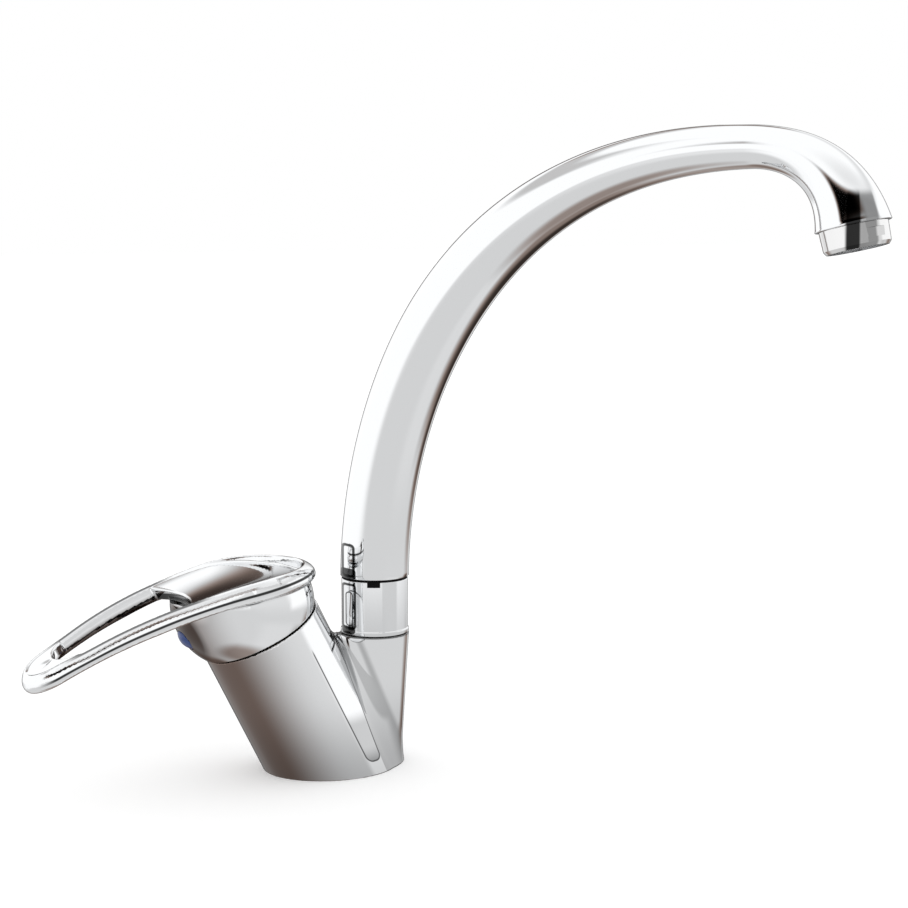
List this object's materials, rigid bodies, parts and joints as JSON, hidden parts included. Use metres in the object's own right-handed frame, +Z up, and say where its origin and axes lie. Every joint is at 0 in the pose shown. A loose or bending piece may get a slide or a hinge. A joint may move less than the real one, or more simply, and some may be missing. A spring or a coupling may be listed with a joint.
{
  "type": "kitchen mixer tap",
  "caption": "Single-lever kitchen mixer tap with a leaning barrel, an open loop lever and a tall swivelling swan-neck spout that flares to its aerator.",
  "frame": {"origin": "middle of the barrel's round foot, on the worktop", "axes": "+Z up, -X towards the lever, the spout turns about a vertical axis at +X and points to -60 degrees from +X at rest"},
  "size_m": [0.2508, 0.2079, 0.2443],
  "materials": {
    "chrome": "polished chrome plate",
    "brass": "turned",
    "plastic": "moulded",
    "ceramic": "lapped",
    "rubber": "moulded",
    "steel": "plain",
    "blue": "glossy"
  },
  "bodies": {
    "fixture": {"body": "chrome", "base_seal": "rubber", "cartridge_base": "plastic", "port_seals": "rubber", "fixed_disc": "ceramic", "cartridge_shell": "plastic", "cartridge_nut": "brass", "dome_cap": "chrome", "spout_collar": "chrome", "collar_seal": "rubber", "slip_ring": "rubber"},
    "carriage": {"turning_carriage": "plastic", "pivot_pin": "steel"},
    "lever": {"handle": "chrome", "handle_screw": "steel", "index_button": "blue", "lever_stem": "brass"},
    "disc": {"moving_disc": "ceramic", "disc_carrier": "plastic"},
    "spout": {"spout": "chrome", "spout_spigot": "brass", "spigot_seals": "rubber", "spout_clip": "steel", "aerator_shell": "chrome", "aerator_washer": "rubber", "aerator_insert": "plastic", "aerator_mesh": "steel"}
  },
  "joints": [
    {"name": "temperature_turn", "type": "hinge", "parent": "fixture", "child": "carriage", "pos_m": [-0.02892, 0, 0.05676], "axis": [-0.454, 0, 0.891], "range_deg": [-45, 45]},
    {"name": "lever_lift", "type": "hinge", "parent": "carriage", "child": "lever", "pos_m": [-0.03391, 0, 0.06656], "axis": [0, 1, 0], "range_deg": [0, 20]},
    {"name": "disc_slide", "type": "slide", "parent": "carriage", "child": "disc", "axis": [-0.891, 0, -0.454], "range_m": [0, 0.00345]},
    {"name": "spout_swivel", "type": "hinge", "parent": "fixture", "child": "spout", "pos_m": [0.0194, 0, 0.07325], "axis": [0, 0, 1], "continuous": true}
  ],
  "couplings": [
    {"joint": "disc_slide", "follows": "lever_lift", "m_per_rad": 0.0098}
  ]
}
